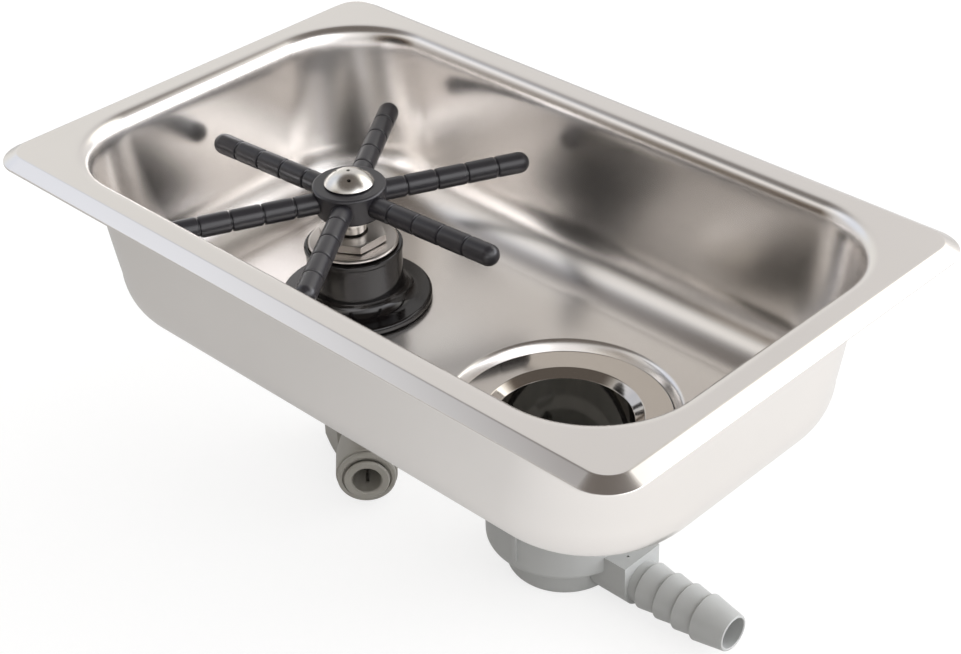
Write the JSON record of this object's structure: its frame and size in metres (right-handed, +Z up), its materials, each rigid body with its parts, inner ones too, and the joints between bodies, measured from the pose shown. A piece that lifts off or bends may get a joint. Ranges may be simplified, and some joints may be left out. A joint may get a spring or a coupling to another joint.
{
  "type": "pitcher rinser",
  "caption": "Drop-in steel rinser basin with a spring-loaded spray star, a drain with a side hose tail and a push-in water inlet.",
  "frame": {"origin": "on the surface that the part stands on, under the middle of the rim", "axes": "+X along the basin from the star to the drain, +Y across it, +Z up"},
  "size_m": [0.265, 0.1624, 0.1213],
  "materials": {
    "basin_steel": "satin",
    "polished_steel": "polished",
    "steel": "turned",
    "chrome": "bright",
    "brass": "satin",
    "rubber": "matte",
    "gloss_rubber": "gloss",
    "black_plastic": "fine satin",
    "grey_plastic": "moulded satin",
    "warm_grey_plastic": "moulded satin"
  },
  "bodies": {
    "rinser": {"basin": "basin_steel", "valve_boot": "gloss_rubber", "boot_washer": "steel", "valve_bonnet": "steel", "valve_body": "brass", "floor_seal": "rubber", "floor_washer": "steel", "lock_nut": "steel", "stem_ring": "rubber", "return_spring": "steel", "spring_seat": "brass", "inlet_elbow": "warm_grey_plastic", "socket_seal": "rubber", "tube_ring": "rubber", "ring_spacer": "warm_grey_plastic", "collet_cap": "warm_grey_plastic", "drain_flange": "polished_steel", "upper_gasket": "rubber", "lower_gasket": "rubber", "back_nut": "grey_plastic", "drain_body": "grey_plastic", "cup_seal": "rubber"},
    "plunger": {"star": "black_plastic", "spray_nozzle": "chrome", "nozzle_seal": "rubber", "plunger_stem": "chrome", "poppet": "brass", "poppet_seal": "rubber", "poppet_clip": "steel"},
    "collet": {"collet": "warm_grey_plastic", "grip_ring": "steel"}
  },
  "joints": [
    {"name": "star_press", "type": "slide", "parent": "rinser", "child": "plunger", "axis": [0, 0, -1], "range_m": [0, 0.005], "stiffness_N_per_m": 860, "springref_m": -0.006, "deforming": ["return_spring"]},
    {"name": "collet_release", "type": "slide", "parent": "rinser", "child": "collet", "axis": [-0.7325, 0.6807, 0], "range_m": [0, 0.001]}
  ]
}
